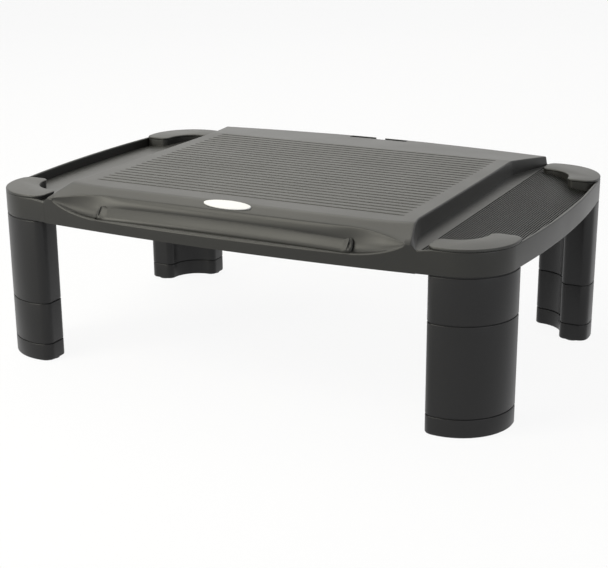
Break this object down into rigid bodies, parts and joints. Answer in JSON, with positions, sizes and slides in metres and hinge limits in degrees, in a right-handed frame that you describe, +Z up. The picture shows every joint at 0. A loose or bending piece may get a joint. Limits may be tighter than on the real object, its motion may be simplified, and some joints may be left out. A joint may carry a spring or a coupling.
{
  "type": "desktop monitor riser",
  "caption": "Moulded desktop riser with a ribbed panel, sunken side trays, a front pen trough, a rear cable slot and stacking legs that set its height.",
  "frame": {"origin": "on the floor under the middle of the deck", "axes": "+X to the right along the width, +Y to the back, +Z up"},
  "size_m": [0.514, 0.354, 0.1729],
  "materials": {
    "deck_plastic": "fine satin texture",
    "cap_plastic": "fine satin texture",
    "leg_plastic": "satin",
    "badge_plate": "gloss white",
    "pad_rubber": "matte"
  },
  "bodies": {
    "deck": {"deck": "deck_plastic", "badge": "badge_plate"},
    "cap_front_left": {"cap_front_left": "cap_plastic"},
    "upper_leg_front_left": {"upper_leg_front_left": "leg_plastic"},
    "lower_leg_front_left": {"lower_leg_front_left": "leg_plastic"},
    "foot_front_left": {"foot_front_left": "leg_plastic", "foot_pads_front_left": "pad_rubber"},
    "cap_front_right": {"cap_front_right": "cap_plastic"},
    "upper_leg_front_right": {"upper_leg_front_right": "leg_plastic"},
    "lower_leg_front_right": {"lower_leg_front_right": "leg_plastic"},
    "foot_front_right": {"foot_front_right": "leg_plastic", "foot_pads_front_right": "pad_rubber"},
    "cap_back_right": {"cap_back_right": "cap_plastic"},
    "upper_leg_back_right": {"upper_leg_back_right": "leg_plastic"},
    "lower_leg_back_right": {"lower_leg_back_right": "leg_plastic"},
    "foot_back_right": {"foot_back_right": "leg_plastic", "foot_pads_back_right": "pad_rubber"},
    "cap_back_left": {"cap_back_left": "cap_plastic"},
    "upper_leg_back_left": {"upper_leg_back_left": "leg_plastic"},
    "lower_leg_back_left": {"lower_leg_back_left": "leg_plastic"},
    "foot_back_left": {"foot_back_left": "leg_plastic", "foot_pads_back_left": "pad_rubber"}
  },
  "joints": [
    {"name": "cap_lift_front_left", "type": "slide", "parent": "deck", "child": "cap_front_left", "axis": [0, 0, 1], "range_m": [0, 0.025]},
    {"name": "upper_leg_pull_front_left", "type": "slide", "parent": "deck", "child": "upper_leg_front_left", "axis": [0, 0, -1], "range_m": [0, 0.025]},
    {"name": "lower_leg_pull_front_left", "type": "slide", "parent": "upper_leg_front_left", "child": "lower_leg_front_left", "axis": [0, 0, -1], "range_m": [0, 0.025]},
    {"name": "foot_pull_front_left", "type": "slide", "parent": "lower_leg_front_left", "child": "foot_front_left", "axis": [0, 0, -1], "range_m": [0, 0.025]},
    {"name": "cap_lift_front_right", "type": "slide", "parent": "deck", "child": "cap_front_right", "axis": [0, 0, 1], "range_m": [0, 0.025]},
    {"name": "upper_leg_pull_front_right", "type": "slide", "parent": "deck", "child": "upper_leg_front_right", "axis": [0, 0, -1], "range_m": [0, 0.025]},
    {"name": "lower_leg_pull_front_right", "type": "slide", "parent": "upper_leg_front_right", "child": "lower_leg_front_right", "axis": [0, 0, -1], "range_m": [0, 0.025]},
    {"name": "foot_pull_front_right", "type": "slide", "parent": "lower_leg_front_right", "child": "foot_front_right", "axis": [0, 0, -1], "range_m": [0, 0.025]},
    {"name": "cap_lift_back_right", "type": "slide", "parent": "deck", "child": "cap_back_right", "axis": [0, 0, 1], "range_m": [0, 0.025]},
    {"name": "upper_leg_pull_back_right", "type": "slide", "parent": "deck", "child": "upper_leg_back_right", "axis": [0, 0, -1], "range_m": [0, 0.025]},
    {"name": "lower_leg_pull_back_right", "type": "slide", "parent": "upper_leg_back_right", "child": "lower_leg_back_right", "axis": [0, 0, -1], "range_m": [0, 0.025]},
    {"name": "foot_pull_back_right", "type": "slide", "parent": "lower_leg_back_right", "child": "foot_back_right", "axis": [0, 0, -1], "range_m": [0, 0.025]},
    {"name": "cap_lift_back_left", "type": "slide", "parent": "deck", "child": "cap_back_left", "axis": [0, 0, 1], "range_m": [0, 0.025]},
    {"name": "upper_leg_pull_back_left", "type": "slide", "parent": "deck", "child": "upper_leg_back_left", "axis": [0, 0, -1], "range_m": [0, 0.025]},
    {"name": "lower_leg_pull_back_left", "type": "slide", "parent": "upper_leg_back_left", "child": "lower_leg_back_left", "axis": [0, 0, -1], "range_m": [0, 0.025]},
    {"name": "foot_pull_back_left", "type": "slide", "parent": "lower_leg_back_left", "child": "foot_back_left", "axis": [0, 0, -1], "range_m": [0, 0.025]}
  ]
}
